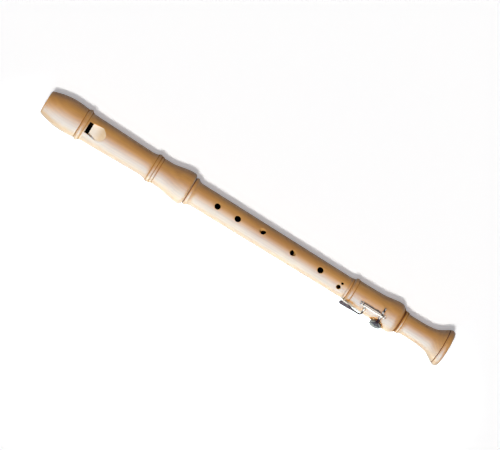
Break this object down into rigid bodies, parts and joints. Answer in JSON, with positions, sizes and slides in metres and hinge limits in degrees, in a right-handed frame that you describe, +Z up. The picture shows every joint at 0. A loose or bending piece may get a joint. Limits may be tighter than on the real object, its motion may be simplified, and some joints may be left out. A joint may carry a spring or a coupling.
{
  "type": "tenor recorder",
  "caption": "End-blown wooden flute in turned joints with a beaked mouthpiece, finger holes, an open-standing key on the foot and a flared bell.",
  "frame": {"origin": "under the middle of the instrument's length, below the bore's axis, at the height of the lowest point of the bell", "axes": "+X from the tip of the beak towards the bell along the bore, +Z up through the window and the finger holes, -Y the side of the key"},
  "size_m": [0.65, 0.0558, 0.0558],
  "materials": {
    "wood": "pale maple, fine straight grain, satin oil and varnish",
    "cedar": "red-brown cedar, planed, unfinished",
    "cork": "sheet cork, greased",
    "key_metal": "silver-plated nickel silver, polished",
    "steel": "blued steel",
    "card": "pressed card disc",
    "pad_leather": "thin pale leather over felt"
  },
  "bodies": {
    "middle": {"middle_joint": "wood", "upper_tenon_cork": "cork", "lower_tenon_cork": "cork"},
    "head": {"head_joint": "wood", "block": "cedar"},
    "foot": {"foot_joint": "wood", "upper_post": "key_metal", "lower_post": "key_metal", "hinge_screw": "steel", "needle_spring": "steel"},
    "key": {"key_tube": "key_metal", "touch_arm": "key_metal", "touch_plate": "key_metal", "pad_arm": "key_metal", "pad_cup": "key_metal", "pad_backing": "card", "key_pad": "pad_leather", "stop_tail": "key_metal", "stop_cork": "cork", "spring_catch": "key_metal"}
  },
  "joints": [
    {"name": "head_draw", "type": "slide", "parent": "middle", "child": "head", "axis": [-1, 0, 0], "range_m": [0, 0.03]},
    {"name": "foot_turn", "type": "hinge", "parent": "middle", "child": "foot", "pos_m": [0.163, 0, 0.02791], "axis": [1, 0, 0], "continuous": true},
    {"name": "key_press", "type": "hinge", "parent": "foot", "child": "key", "pos_m": [0.222, -0.00732, 0.05045], "axis": [1, 0, 0], "range_deg": [0, 12], "stiffness_Nm_per_rad": 0.05, "springref_deg": -22.92, "deforming": ["needle_spring"]}
  ]
}
